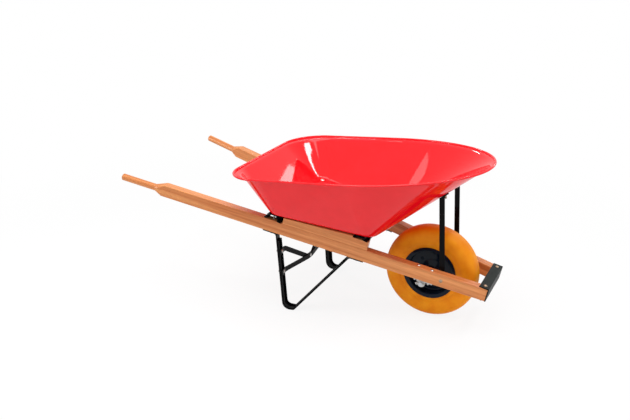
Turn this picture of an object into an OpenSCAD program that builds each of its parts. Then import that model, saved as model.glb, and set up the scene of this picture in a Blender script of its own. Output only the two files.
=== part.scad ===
// Contractor's wheelbarrow: a pressed steel tray on two splayed hardwood handles, braced channel
// legs and one solid-tyred wheel. +X points to the wheel, +Y to the left hand, +Z up. The origin
// is on the ground, under the middle of the overall length. Millimetres.

/* [Handles] */
// Length of each handle along its own axis, at its longest
handle_len = 1524; // [1400:1:1650]
// Width of the handle section
handle_w = 38; // [34:0.5:44]
// Height of the handle section
handle_h = 50; // [44:0.5:58]
// Radius of the handle section's eased edges
handle_ease = 3; // [1:0.5:6]
// Slope of each handle up towards its grip
handle_pitch = 12.3; // [10:0.1:14]
// Angle at which each handle runs outwards from the centre plane
handle_splay = 9; // [8:0.1:10]
// Half the distance between the handles' centre lines at the nose
nose_half = 93; // [88:0.5:105]
// Radius of the turned grip
grip_r = 14; // [12:0.5:17]
// Length of the turned grip
grip_len = 150; // [120:1:180]
// Length of the turned shoulder between the grip and the full section
shoulder_len = 50; // [35:1:70]
// Drop of the grip's axis below the handle's centre line
grip_drop = 3; // [0:0.5:6]

/* [Tray] */
// Thickness of the tray sheet
tray_t = 1.5; // [1.2:0.1:3]
// Length of the flat bottom
bottom_len = 429; // [400:1:450]
// Distance of the bottom's rear corners outside the handles' centre lines
bottom_rear_over = 16.5; // [15:0.5:26]
// Distance of the bottom's front corners outside the handles' centre lines
bottom_front_over = 20; // [18:0.5:30]
// Corner radius of the flat bottom in plan
bottom_r = 46; // [36:1:50]
// Radius of the fold between the bottom and the walls
fold_r = 26; // [12:1:36]
// Distance of the bottom's rear edge behind the centre of the rear strap
tray_tail = 28; // [24:1:34]
// Length of the rim, from its rear edge to its nose
rim_len = 973; // [940:1:1000]
// Half width of the rim
rim_half = 345; // [330:1:365]
// Length of the rounded nose of the rim
rim_nose = 506; // [450:1:530]
// Corner radius of the rim at the rear
rim_r = 145; // [110:1:160]
// Distance of the rim's rear edge behind the bottom's rear edge, measured along the bottom
rim_overhang = 168; // [150:1:190]
// Height of the rim over the bottom's rear edge
rim_rise = 129; // [115:1:150]
// Angle between the rim and the bottom
rim_tilt = 13.6; // [12:0.1:15]
// Width of the flared lip between the wall and the rim
lip_w = 22; // [16:1:26]
// Height of the flared lip
lip_rise = 12; // [8:0.5:15]
// Radius by which the wall's rear corners are rounder than the rim's
lip_round = 34; // [10:1:50]
// Diameter of the rolled bead round the rim
bead_d = 9; // [7:0.5:12]

/* [Tray supports] */
// Distance of the rear strap's centre behind the nose
rear_strap_at = 826; // [800:1:840]
// Height of the rear strap over the handles
rear_strap_h = 25; // [22:0.5:34]
// Width of the rear strap, feet included
rear_strap_w = 72; // [64:1:84]
// Distance of the front strap's centre behind the nose
front_strap_at = 478; // [470:1:490]
// Height of the front strap over the wedges
front_strap_h = 12; // [10:0.5:16]
// Width of the front strap, feet included
front_strap_w = 58; // [52:1:66]
// Thickness of the straps' sheet
strap_t = 3; // [2:0.1:4]
// Thickness of the wedges under the front strap
wedge_t = 37; // [30:0.5:44]
// Clearance between the wedges and the tray
wedge_gap = 4; // [3:0.5:7]
// Clearance between the wedges' rear ends and the rear strap's feet
wedge_stop = 3; // [2:0.5:40]

/* [Legs] */
// Width of the leg channel
leg_w = 38; // [30:0.5:44]
// Depth of the leg channel at its upright
leg_d = 11; // [9:0.5:14]
// Depth of the leg channel at its front strut
strut_d = 7; // [5:0.5:8]
// Thickness of the leg channel
leg_t = 3; // [2.5:0.1:4]
// Distance of the foot's rear corner behind the nose, along the handle's plan
foot_at = 800; // [780:1:805]
// Length of the flat foot between its corners
foot_len = 45; // [40:1:60]
// Distance that the upright leans back from the foot to the handle
upright_lean = 25; // [10:1:35]
// Distance of the front strut's top behind the nose, along the handle's plan
strut_at = 528; // [516:1:545]
// Length of each tab under the handle
tab_len = 54; // [46:1:64]
// Bend radius at the rear of the foot
foot_r = 30; // [20:1:32]
// Bend radius of the other leg bends
leg_r = 12; // [8:1:16]
// Width of the leg brace bars
brace_w = 20; // [16:0.5:24]
// Thickness of the leg brace bars
brace_t = 4; // [3:0.1:5]
// Height of the upper brace's ends
upper_brace_z = 246; // [235:1:260]
// Height of the lower brace's ends
lower_brace_z = 158; // [150:1:175]
// Height of the braces' crossing at the middle
brace_mid_z = 146; // [130:1:150]
// Distance that the crossing lies in front of the legs
brace_mid_fwd = 24; // [12:1:34]

/* [Front braces] */
// Width of the front brace bars
bar_w = 20; // [16:0.5:24]
// Thickness of the front brace bars
bar_t = 4.5; // [3:0.1:6]
// Distance of the front braces' lower bolts behind the nose
bar_at = 171; // [160:1:178]
// Distance that each bar leans back over its height
bar_lean = 18; // [8:1:28]
// Length of the tab under the tray
bar_tab = 36; // [30:1:42]

/* [Nose guard] */
// Depth of the guard's top flange
guard_top = 38; // [32:1:48]
// Thickness of the guard
guard_t = 4; // [3:0.1:5]

/* [Wheel] */
// Outer radius of the tyre
wheel_r = 186; // [180:0.5:190]
// Half width of the tyre
tyre_half = 48; // [42:0.5:52]
// Radius of the rim's outer lip
lip_r = 106; // [100:0.5:110]
// Half width over the rim's lips
lip_half = 40; // [36:0.5:42]
// Radius of the seat that the tyre sits on
seat_r = 90; // [84:0.5:94]
// Thickness of the rim's sheet
rim_t = 2.5; // [2:0.1:3]
// Radius of the hub tube
hub_r = 21; // [19:0.5:24]
// Half length of the hub
hub_half = 55; // [50:0.5:60]
// Radius of the axle
axle_r = 8; // [7:0.1:9.5]
// Distance of the axle behind the nose
axle_at = 243; // [236:1:248]
// Clearance between the axle's washers and the handles
axle_gap = 1.4; // [1:0.1:4]
// Thickness of the axle bracket's sheet
bracket_t = 4; // [3:0.1:5]
// Width of the axle bracket across the handle
bracket_w = 20; // [16:0.5:24]
// Length of the bracket's plate beyond each of its bolts
bracket_end = 16; // [11:0.5:20]
// Wall of the bracket's block round the axle
ear_wall = 7; // [5:0.5:9]
// Radius of the wheel bearings
bearing_r = 16; // [14:0.5:17.5]
// Width of the wheel bearings
bearing_w = 12; // [8:0.5:15]

/* [Fasteners] */
// Radius of the tray bolts
tray_bolt_r = 4; // [3:0.1:4.5]
// Radius of the other bolts
bolt_r = 3.2; // [2.5:0.1:3.8]
// Clearance round a bolt in its hole
hole_gap = 0.4; // [0.2:0.05:0.8]

/* [Fits] */
// Clearance where one piece seats on another
seat_gap = 0.1; // [0.05:0.05:0.3]
// Running clearance of the bearings on the axle
run_gap = 0.05; // [0.02:0.01:0.1]

/* [Hidden] */

// Number of steps in a sheet bend
bend_steps = 8;
// A length past any piece, for cuts
past = 400;
// Length by which two shapes run into each other where they are joined or cut
lap = 1;
// Thickness of the thin slices that a hull joins
slice = 0.01;
// Length of a bolt's hole, through everything that the bolt clamps
hole_len = 200;
// Radius of a bolt's head, its washer and its nut, and their heights, as shares of the bolt's radius
head_share = 2.2;
washer_share = 2.3;
nut_share = 1.85;
washer_rise = 0.4;
nut_rise = 1.6;
// Length of shank beyond a nut
shank_spare = 3;

// Rise of the handles for each millimetre back along X, and the slope of their tops at one Y
handle_rise = tan(handle_pitch) / cos(handle_splay);
deck_slope = tan(handle_pitch) * cos(handle_splay);
deck_pitch = atan(deck_slope);
// Rise of a handle's top from its middle to its outer edge, beside a straight piece across it
cross_rise = tan(handle_pitch) * sin(handle_splay) * handle_w / 2;
// Half the handle's height, measured straight up
half_up = handle_h / (2 * cos(handle_pitch));
// Outer radius of the axle's washers, and the axle's drop below the handles' undersides
axle_washer_r = 1.6 * axle_r;
axle_drop = (axle_washer_r + axle_gap) / cos(handle_pitch);
// Height of the handles' centre line at the nose, set by the wheel on the ground
nose_z = wheel_r + axle_drop + half_up - handle_rise * axle_at;
// The overall length runs from the grips' ends to the front of the guard
handle_run = handle_len * cos(handle_pitch) * cos(handle_splay);
guard_reach = guard_t * cos(deck_pitch) + (half_up + guard_t) * sin(deck_pitch);
nose_x = (handle_run + grip_r * sin(handle_pitch) - guard_reach) / 2;

function handle_y(back) = nose_half + tan(handle_splay) * back;
function handle_top(back) = nose_z + handle_rise * back + half_up;
// Place along a handle's own axis of the point that lies `up` over its centre line
function along(back, up) = back / (cos(handle_splay) * cos(handle_pitch)) + up * sin(handle_pitch);

// The tray rests on the two straps, which set its slope
rear_seat_z = handle_top(rear_strap_at) + cross_rise + rear_strap_h;
front_seat_z = handle_top(front_strap_at) + wedge_t + front_strap_h;
tray_tilt = atan((rear_seat_z - front_seat_z) / (rear_strap_at - front_strap_at));
// Underside of the tray's bottom
function tray_under(back) = rear_seat_z + tan(tray_tilt) * (back - rear_strap_at);
// Thickness of a wedge at right angles to its handle, clear of the tray
function wedge_top(back) = (tray_under(back) - handle_top(back) - wedge_gap) * cos(handle_pitch);
// A wedge reaches this far past the front strap's feet, in front and behind
wedge_front_over = 2;
wedge_notch_over = 3;
wedge_front_at = front_strap_at - front_strap_w / 2 - wedge_front_over;
wedge_rear_at = rear_strap_at - rear_strap_w / 2 - wedge_stop;
// Length of a strap's foot, and the length over which its side rises from the foot to the crown
strap_foot = 13;
strap_draft = 4;
tray_rear_at = rear_strap_at + tray_tail;
bottom_rear_half = handle_y(tray_rear_at) + bottom_rear_over;
bottom_front_half = handle_y(tray_rear_at - bottom_len * cos(tray_tilt)) + bottom_front_over;

// The tray bolts stand a little inside the handles' centre lines, clear of the tray's folds
bolt_in = 4;
// Stations of the tray bolts along the handle, each through the middle of its strap
strap_at = [rear_strap_at, front_strap_at];
bolt_up = [half_up + rear_strap_h / 2, half_up + wedge_t];
bolt_a = [for (i = [0, 1]) along(strap_at[i], bolt_up[i])];
// Distance behind the nose of the point `up` over a handle's centre line, at station a
function back_of(a, up) = (a - up * sin(handle_pitch)) * cos(handle_splay) * cos(handle_pitch);

// Angle at which the bottom's fold meets the walls, half the walls' mean turn, and the fold's reach
fold_end = 30;
fold_half_turn = 23;
fold_reach = fold_r * tan(fold_half_turn);
fold_steps = [0, fold_end / 2, fold_end];
// Place of the lip's inner corner from its outer one, inwards and up, and the height of that corner
corner_in = tray_t * 0.6;
corner_up = tray_t * 0.83;
corner_h = 0.6;

// Points of the rim's frame and of the tray's frame, in the part's frame
function from_rim(p) = from_tray([
    p[0] * cos(rim_tilt) - p[2] * sin(rim_tilt) - rim_overhang,
    p[1],
    p[0] * sin(rim_tilt) + p[2] * cos(rim_tilt) + rim_rise
]);
function from_tray(p) = [
    p[0] * cos(tray_tilt) + p[2] * sin(tray_tilt) + nose_x - tray_rear_at,
    p[1],
    p[2] * cos(tray_tilt) - p[0] * sin(tray_tilt) + tray_under(tray_rear_at)
];
// The front wall is made of flat facets. Each hangs from one edge of its top outline on the right,
// and leans on one corner of its lower outline: [top point, up the wall, to the middle, inwards]
wall_step = 5;
wall_span = 70;
wall_lean = from_rim([0, 0, 0]) - from_rim([0, 0, 1]);
wall_foot = [
    for (p = bottom_plan(fold_reach - fold_r * sin(fold_end)))
        from_tray([p[0], p[1], fold_r * (1 - cos(fold_end))])
];
function wall_top(i) = from_rim([
    rim_len - rim_nose + (rim_nose - lip_w) * cos(wall_step * i),
    -(rim_half - lip_w) * sin(wall_step * i),
    -lip_rise
]);
function facet(i) =
    let (top = wall_top(i))
    let (inner = unit(top - wall_top(i + 1)))
    let (outer = cross(wall_lean, inner))
    let (lean = max([for (p = wall_foot) (p - top) * outer / ((p - top) * wall_lean)]))
    let (up = -unit(wall_lean + lean * outer))
    [top, up, inner, cross(up, inner)];
function facet_z(f, x, y) = f[0][2] - (f[3][0] * (x - f[0][0]) + f[3][1] * (y - f[0][1])) / f[3][2];
facets = [for (i = [0 : wall_span / wall_step]) facet(i)];

// Underside of a handle, `s` behind the nose along its plan
function under(s) = nose_z + tan(handle_pitch) * s - half_up;
// Middle of a leg's tab against that underside
function tab_z(s) = under(s) - leg_t / (2 * cos(handle_pitch));
upright_at = foot_at + upright_lean;
leg_path = [
    [-upright_at - tab_len, tab_z(upright_at + tab_len)],
    [-upright_at, tab_z(upright_at)],
    [-foot_at, leg_t / 2],
    [-foot_at + foot_len, leg_t / 2],
    [-strut_at, tab_z(strut_at)],
    [-strut_at + tab_len, tab_z(strut_at - tab_len)]
];
leg_bends = [leg_r, foot_r, leg_r, leg_r];
// The flanges stop this far short of the bends under the handle
flange_stop = 30;
upright_tilt = atan2(upright_lean, leg_path[1][1] - leg_path[2][1]);
// Middle of the upright's web at height z, along the handle's plan
function upright_s(z) = foot_at + (z - leg_t / 2) * tan(upright_tilt);

// Inner face of a handle, in the part's frame
function inner_face(back) = handle_y(back) - handle_w / (2 * cos(handle_splay));
// The front braces stand against the handles' inner faces, and each ends in a tab on a wall facet
bar_top_at = bar_at + bar_lean;
tab_y = inner_face(bar_top_at) - bar_tab / 2;
tab_heights = [for (f = facets) facet_z(f, nose_x - bar_top_at, -tab_y)];
tab_facet = facets[search(max(tab_heights), tab_heights)[0]];
bar_low = [-bar_at / cos(handle_splay), nose_z + handle_rise * bar_at];
bar_high = [
    -bar_top_at / cos(handle_splay),
    facet_z(tab_facet, nose_x - bar_top_at, -inner_face(bar_top_at))
];
bar_dir = unit(bar_high - bar_low);
// Length of each brace below its lower bolt
bar_foot = 14;
// Height of a wall bolt's head over the sheet, which curves up round it
head_lift = 0.7;
// Space between the two leg braces at their middle bolt, and half the flat length there
brace_gap = 0.3;
brace_flat = 18;
// Bend radius of a leg brace, seen from the front, and the length of its tab inside the leg
brace_bend = 0.6 * brace_w;
brace_tab = 1.5 * brace_t;
// Place of the middle bolt along X
brace_mid_x = nose_x - foot_at * cos(handle_splay) - brace_mid_z * tan(upright_tilt) + brace_mid_fwd;
// The nose guard reaches over both handles, clear of their cross slope
guard_over = 1;
guard_half = nose_half + handle_w / (2 * cos(handle_splay)) + guard_over;
guard_z = half_up * cos(deck_pitch) + cross_rise + seat_gap;
guard_bolt_x = -15;
// Place of the guard's washers under the handles, clear of their cross slope
guard_nut_z = -handle_h / 2 - 1;

// The axle's brackets hang under the middles of the handles
ear_y = handle_y(axle_at);
ear_r = axle_r + ear_wall;
// Growth of the block's half width for each millimetre up from the axle
ear_flare = 0.3;
axle_a = along(axle_at, -half_up);
bracket_bolt = ear_r + ear_flare * axle_drop + washer_share * bolt_r;
axle_washer_t = 2;
cotter_r = 1.6;
bracket_face = ear_y + bracket_w / 2 + seat_gap;
cotter_y = bracket_face + axle_washer_t + 2 * cotter_r;
// Length of the axle beyond the middle of each split pin, and of a split pin beyond the axle
axle_over = 4;
cotter_over = 5;
cotter_eye_r = 3.4;
axle_half = cotter_y + axle_over;
// The spacers reach from the wheel's hub, with some end float, to the brackets
wheel_float = 0.3;
spacer_r = 1.5 * axle_r;
spacer_from = hub_half + wheel_float;
spacer_to = bracket_face - bracket_w - 2 * seat_gap;
// Clearance of the hub's bore round the axle
hub_bore_gap = 3;
rim_bolt_r = 3.2;
rim_bolt_circle = 58;
rim_bolt_count = 4;
// Bend radii of the rim's lip, seat and dish, and the dish's length and depth
rim_bends = [6, 8, 10];
dish_run = 22;
dish_out = 15;
// Clearance of the tyre in the rim
tyre_gap = 0.15;
tyre_seat = seat_r + rim_t / 2 + tyre_gap;
tyre_bead = lip_half - rim_t / 2 - tyre_gap;
// Bevel of the tyre's bead, clear of the bend between the rim's lip and its seat
bead_ease = 5;

// ---- Plan helpers -------------------------------------------------------------------------

function unit(v) = v / norm(v);
function left(v) = [-v[1], v[0]];
function turned(v, a) = [v[0] * cos(a) - v[1] * sin(a), v[0] * sin(a) + v[1] * cos(a)];

// Points round the bend at b on the path a-b-c, moved `off` to the left of the path
function bend(a, b, c, r, off) =
    let (u = unit(b - a))
    let (w = unit(c - b))
    let (turn = atan2(u[0] * w[1] - u[1] * w[0], u * w))
    let (side = sign(turn))
    let (centre = b - r * tan(abs(turn) / 2) * u + side * r * left(u))
    [for (i = [0 : bend_steps]) centre - side * (r - side * off) * turned(left(u), turn * i / bend_steps)];

// The whole path, moved sideways, with bends of the given radii
function side_line(p, r, off) = concat(
    [p[0] + off * left(unit(p[1] - p[0]))],
    [for (i = [1 : len(p) - 2]) each bend(p[i - 1], p[i], p[i + 1], r[i - 1], off)],
    [p[len(p) - 1] + off * left(unit(p[len(p) - 1] - p[len(p) - 2]))]);

function reversed(p) = [for (i = [len(p) - 1 : -1 : 0]) p[i]];

// A band of bent sheet between two offsets from a path
module band(p, r, low, high) {
    polygon(concat(side_line(p, r, low), reversed(side_line(p, r, high))));
}

// A flat drawing of X and Z made solid across Y
module across(width) {
    rotate([90, 0, 0])
        linear_extrude(width, center = true)
            children();
}

module mirrored(side) {
    if (side == "left")
        mirror([0, 1, 0])
            children();
    else
        children();
}

// A handle's own frame: origin on its axis at the nose, X forwards along it, Z square to its top
module on_handle(side) {
    mirrored(side)
        translate([nose_x, -nose_half, nose_z])
            rotate([0, handle_pitch, handle_splay])
                children();
}

// The upright plane through a handle, with Z from the ground
module in_leg_plane(side) {
    mirrored(side)
        translate([nose_x, -nose_half, 0])
            rotate([0, 0, handle_splay])
                children();
}

// The tray's own frame: origin in the middle of the bottom's rear edge, X forwards along the bottom
module on_tray() {
    translate([nose_x - tray_rear_at, 0, tray_under(tray_rear_at)])
        rotate([0, tray_tilt, 0])
            children();
}

module on_rim() {
    translate([-rim_overhang, 0, rim_rise])
        rotate([0, -rim_tilt, 0])
            children();
}

// The frame of a front brace's tab: X up its wall facet, Y to the middle, Z into the tray
module on_wall(side) {
    x = nose_x - bar_top_at;
    mirrored(side)
        multmatrix([
            [tab_facet[1][0], tab_facet[2][0], tab_facet[3][0], x],
            [tab_facet[1][1], tab_facet[2][1], tab_facet[3][1], -tab_y],
            [tab_facet[1][2], tab_facet[2][2], tab_facet[3][2], facet_z(tab_facet, x, -tab_y)],
            [0, 0, 0, 1]
        ])
            children();
}

// The frame of a straight piece across both handles at the nose
module on_nose() {
    translate([nose_x, 0, nose_z])
        rotate([0, deck_pitch, 0])
            children();
}

// A leg's upright at height z: X out of the web's inner face, Z up the web
module on_upright(side, z) {
    in_leg_plane(side)
        translate([-upright_s(z), 0, z])
            rotate([0, -upright_tilt, 0])
                children();
}

// ---- Fasteners ----------------------------------------------------------------------------

// A round-headed bolt: its head stands on Z = 0 and its shank runs down
module dome_bolt(r, shank) {
    head_r = head_share * r;
    head_h = r;
    ball = (head_r * head_r + head_h * head_h) / (2 * head_h);
    intersection() {
        cylinder(r = head_r, h = head_h, $fn = 48);
        translate([0, 0, head_h - ball])
            sphere(r = ball, $fn = 96);
    }
    translate([0, 0, -shank])
        cylinder(r = r, h = shank + head_h / 2, $fn = 32);
}

// A washer and nut, one under the other, below Z = 0
module nut_stack(r) {
    washer_t = washer_rise * r;
    nut_h = nut_rise * r;
    translate([0, 0, -washer_t])
        difference() {
            cylinder(r = washer_share * r, h = washer_t, $fn = 48);
            bolt_hole(r, hole_gap / 2);
        }
    translate([0, 0, -washer_t - nut_h - seat_gap])
        difference() {
            cylinder(r = nut_share * r, h = nut_h, $fn = 6);
            bolt_hole(r, hole_gap / 2);
        }
}

// Length of shank that a nut stack takes, with a little to spare
function nut_room(r) = (washer_rise + nut_rise) * r + shank_spare;

module bolt_hole(r, gap) {
    cylinder(r = r + gap, h = hole_len, center = true, $fn = 32);
}

// ---- Handles ------------------------------------------------------------------------------

module eased_bar(length) {
    rotate([0, -90, 0])
        linear_extrude(length)
            union() {
                square([handle_h, handle_w - 2 * handle_ease], center = true);
                square([handle_h - 2 * handle_ease, handle_w], center = true);
                for (i = [-1, 1])
                    for (j = [-1, 1])
                        translate([i * (handle_h / 2 - handle_ease), j * (handle_w / 2 - handle_ease)])
                            circle(r = handle_ease, $fn = 32);
            }
}

// Bevel of the grip's end
grip_bevel = 4;

// The turned end: a cone cuts the section down to the grip
module turned_end(length) {
    full_r = norm([handle_w, handle_h]) / 2 + grip_drop;
    shoulder_at = length - grip_len - shoulder_len;
    translate([-shoulder_at, 0, 0])
        intersection() {
            translate([lap, 0, 0])
                eased_bar(shoulder_len + lap);
            translate([0, 0, -grip_drop])
                rotate([0, -90, 0])
                    cylinder(r1 = full_r, r2 = grip_r, h = shoulder_len, $fn = 64);
        }
    translate([-shoulder_at - shoulder_len + lap, 0, -grip_drop])
        rotate([0, -90, 0])
            cylinder(r = grip_r, h = grip_len - grip_bevel + lap, $fn = 64);
    translate([-length + grip_bevel, 0, -grip_drop])
        rotate([0, -90, 0])
            cylinder(r1 = grip_r, r2 = grip_r - grip_bevel, h = grip_bevel, $fn = 64);
}

// Each handle is drawn this much longer at its nose, and an upright cut takes it off
nose_spare = 12;

module handle(side) {
    color("peru")
        difference() {
            on_handle(side) {
                translate([nose_spare, 0, 0])
                    eased_bar(handle_len - grip_len - shoulder_len + nose_spare);
                turned_end(handle_len);
            }
            on_nose()
                translate([0, -past / 2, -past / 2])
                    cube([past, past, past]);
            tray_bolt_holes(side);
            bracket_bolt_holes(side);
            brace_bolt_hole(side);
            guard_bolt_holes();
        }
}

module handle_right() {
    handle("right");
}

module handle_left() {
    handle("left");
}

// ---- Tray supports ------------------------------------------------------------------------

// A tapered riser on each handle, notched at its front for the front strap
module wedge(side) {
    notch_at = front_strap_at + front_strap_w / 2 + wedge_notch_over;
    deck = handle_h / 2;
    floor_z = deck + wedge_t * cos(handle_pitch);
    x_front = -along(wedge_front_at, half_up + wedge_t);
    x_notch = -along(notch_at, half_up + wedge_t);
    x_rear = -along(wedge_rear_at, half_up);
    color("peru")
        difference() {
            on_handle(side)
                across(handle_w)
                    polygon([
                        [x_front, deck],
                        [x_front, floor_z],
                        [x_notch, floor_z],
                        [x_notch, deck + wedge_top(notch_at)],
                        [x_rear, deck + wedge_top(wedge_rear_at)],
                        [x_rear, deck]
                    ]);
            tray_bolt_holes(side);
        }
}

module wedge_right() {
    wedge("right");
}

module wedge_left() {
    wedge("left");
}

// A hat-section strap across both handles: its feet lie on base_z and its crown meets the tray
module strap(back, base_z, width, half) {
    function foot_z(b) = base_z + deck_slope * (b - back) + strap_t / 2 + seat_gap;
    function crown_z(b) = tray_under(b) - strap_t / 2 - seat_gap;
    foot_end = width / 2 - strap_foot;
    outs = [width / 2, foot_end, foot_end - strap_draft];
    path = [
        for (i = [0, 1]) [-outs[i], foot_z(back + outs[i])],
        [-outs[2], crown_z(back + outs[2])],
        [outs[2], crown_z(back - outs[2])],
        for (i = [1, 0]) [outs[i], foot_z(back - outs[i])]
    ];
    color("black")
        difference() {
            translate([nose_x - back, 0, 0])
                across(2 * half)
                    band(path, [1, 1, 1, 1] * strap_t, -strap_t / 2, strap_t / 2);
            for (side = ["right", "left"])
                tray_bolt_holes(side);
        }
}

module rear_strap() {
    strap(rear_strap_at, handle_top(rear_strap_at) + cross_rise, rear_strap_w,
        handle_y(rear_strap_at) + handle_w / 2);
}

module front_strap() {
    strap(front_strap_at, handle_top(front_strap_at) + wedge_t + cross_rise, front_strap_w,
        handle_y(front_strap_at) + handle_w / 2);
}

module tray_bolt_holes(side) {
    for (a = bolt_a)
        on_handle(side)
            translate([-a, bolt_in, 0])
                // Turned, so that the hole's seam clears the leg's edges
                rotate([0, 0, 45])
                    bolt_hole(tray_bolt_r, hole_gap);
}

// ---- Tray ---------------------------------------------------------------------------------

function arc(cx, cy, rx, ry, from, to, n) = [
    for (i = [0 : n])
        let (a = from + (to - from) * i / n)
        [cx + rx * cos(a), cy + ry * sin(a)]
];

// Outline of the bottom, drawn in by `inset`
function bottom_plan(inset) =
    let (r = bottom_r - inset)
    let (rear = [bottom_r, bottom_rear_half - bottom_r])
    let (front = [bottom_len - bottom_r, bottom_front_half - bottom_r])
    concat(
        arc(front[0], -front[1], r, r, -90, 0, 8),
        arc(front[0], front[1], r, r, 0, 90, 8),
        arc(rear[0], rear[1], r, r, 90, 180, 8),
        arc(rear[0], -rear[1], r, r, 180, 270, 8));

// Outline of the rim, drawn in by `inset`, with its rear corners rounder by `extra`
function rim_plan(inset, extra) =
    let (r = rim_r - inset + extra)
    let (half = rim_half - inset)
    concat(
        arc(rim_len - rim_nose, 0, rim_nose - inset, half, -90, 90, 36),
        arc(inset + r, half - r, r, r, 90, 180, 8),
        arc(inset + r, r - half, r, r, 180, 270, 8));

module slab(points, thick) {
    linear_extrude(thick)
        polygon(points);
}

// The ring where the walls meet the lip, moved in and up
module lip_ring(inwards, up) {
    on_rim()
        translate([0, 0, up - lip_rise])
            slab(rim_plan(lip_w + inwards, lip_round), corner_h);
}

// The bottom, its fold and the walls up to the lip, made smaller by the sheet's thickness or not
module pan(t, inwards, up) {
    hull() {
        for (a = fold_steps)
            translate([0, 0, fold_r * (1 - cos(a)) + t * cos(a)])
                slab(bottom_plan(fold_reach - (fold_r - t) * sin(a)), slice);
        lip_ring(inwards, up);
    }
}

// The flared lip, up to an edge that is `height` tall
module flare(inwards, up, edge, height) {
    hull() {
        lip_ring(inwards, up);
        on_rim()
            translate([0, 0, -bead_d / 2])
                slab(rim_plan(edge, 0), height);
    }
}

module tray() {
    color("crimson")
        difference() {
            on_tray() {
                pan(0, 0, 0);
                flare(0, 0, bead_d / 2, corner_h);
                on_rim()
                    translate([0, 0, -bead_d])
                        slab(rim_plan(0, 0), bead_d);
            }
            on_tray() {
                pan(tray_t, corner_in, corner_up);
                flare(corner_in, corner_up, bead_d, bead_d);
            }
            for (side = ["right", "left"]) {
                tray_bolt_holes(side);
                wall_bolt_hole(side);
            }
        }
}

// Height over a handle's axis at which a tray bolt's head stands
function head_up(i) =
    let (up = i == 0 ? half_up + rear_strap_h : half_up + wedge_t + front_strap_h)
    let (back = back_of(bolt_a[i], up))
    let (skew = handle_pitch - tray_tilt)
    handle_h / 2 + (tray_under(back) - handle_top(back)) * cos(handle_pitch)
        + (tray_t + head_share * tray_bolt_r * tan(skew)) / cos(skew) + 2 * seat_gap;

module tray_bolts() {
    tail = handle_h / 2 + leg_t + nut_room(tray_bolt_r);
    color("silver")
        for (side = ["right", "left"])
            for (i = [0, 1])
                on_handle(side)
                    translate([-bolt_a[i], bolt_in, head_up(i)])
                        dome_bolt(tray_bolt_r, head_up(i) + tail);
}

module tray_bolt_nuts() {
    color("silver")
        for (side = ["right", "left"])
            for (a = bolt_a)
                on_handle(side)
                    translate([-a, bolt_in, -handle_h / 2 - leg_t])
                        nut_stack(tray_bolt_r);
}

// ---- Legs ---------------------------------------------------------------------------------

// A bent channel: its web is one strip from tab to tab, with flanges inside the V
module leg(side) {
    upright_end = leg_path[1] + flange_stop * unit(leg_path[2] - leg_path[1]);
    strut_end = leg_path[4] + flange_stop * unit(leg_path[3] - leg_path[4]);
    shallow = (strut_d - leg_d) * left(unit(leg_path[4] - leg_path[3]));
    flange_outer = [upright_end, leg_path[2], leg_path[3], strut_end];
    flange_inner = [upright_end, leg_path[2], leg_path[3] + shallow, strut_end + shallow];
    flange_bends = [foot_r, leg_r];
    color("dimgray")
        difference() {
            in_leg_plane(side)
                across(leg_w)
                    union() {
                        band(leg_path, leg_bends, -leg_t / 2, leg_t / 2);
                        polygon(concat(
                            side_line(flange_outer, flange_bends, 0),
                            reversed(side_line(flange_inner, flange_bends, leg_d - leg_t / 2))));
                    }
            in_leg_plane(side)
                across(leg_w - 2 * leg_t)
                    band(flange_outer, flange_bends, leg_t / 2, 2 * leg_d);
            tray_bolt_holes(side);
            leg_brace_holes(side);
        }
}

module leg_right() {
    leg("right");
}

module leg_left() {
    leg("left");
}

// The brace ends lie on the flanges of the uprights
brace_x = leg_d - leg_t / 2 + seat_gap;

module leg_brace_holes(side) {
    for (z = [upper_brace_z, lower_brace_z])
        on_upright(side, z)
            rotate([0, 90, 0])
                bolt_hole(bolt_r, hole_gap);
}

// Where a brace's arm leaves its tab, just inside the leg, in the part's frame, for the right side
function arm_start(z) =
    let (x = -upright_s(z) + (brace_x + brace_t / 2) / cos(upright_tilt))
    let (y = leg_w / 2 + brace_t)
    let (p = turned([x, y], handle_splay))
    [nose_x + p[0], -nose_half + p[1], z];

// The bar from leg to leg: its bends seen from above, cut to its bends seen from the front
module brace_bar(start, mid_x) {
    level = brace_w / 2;
    front_bends = [1, 1, 1, 1] * brace_bend;
    plan = [
        [start[0], start[1]], [mid_x, -brace_flat], [mid_x, brace_flat], [start[0], -start[1]]
    ];
    front = [
        [start[1] - level, start[2]], [start[1] + level, start[2]], [-brace_flat, brace_mid_z],
        [brace_flat, brace_mid_z], [-start[1] - level, start[2]], [level - start[1], start[2]]
    ];
    intersection() {
        linear_extrude(past)
            band(plan, [brace_t, brace_t], -brace_t / 2, brace_t / 2);
        rotate([90, 0, 90])
            linear_extrude(2 * past, center = true)
                band(front, front_bends, -brace_w / 2, brace_w / 2);
    }
}

// A V-shaped brace between the legs: a tab on each upright, two arms and a flat middle
module leg_brace(z, fwd) {
    color("dimgray")
        difference() {
            union() {
                for (side = ["right", "left"])
                    on_upright(side, z)
                        translate([brace_x, -leg_w / 2, -brace_w / 2])
                            cube([brace_t, leg_w + brace_tab, brace_w]);
                brace_bar(arm_start(z), brace_mid_x + fwd);
            }
            for (side = ["right", "left"])
                leg_brace_holes(side);
            mid_bolt_hole();
        }
}

module leg_brace_upper() {
    leg_brace(upper_brace_z, -brace_t - brace_gap);
}

module leg_brace_lower() {
    leg_brace(lower_brace_z, 0);
}

// The middle bolt's frame: origin on the front of the lower brace
module at_mid_bolt() {
    translate([brace_mid_x + brace_t / 2, 0, brace_mid_z])
        rotate([0, 90, 0])
            children();
}

module mid_bolt_hole() {
    at_mid_bolt()
        bolt_hole(bolt_r, hole_gap);
}

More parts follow.
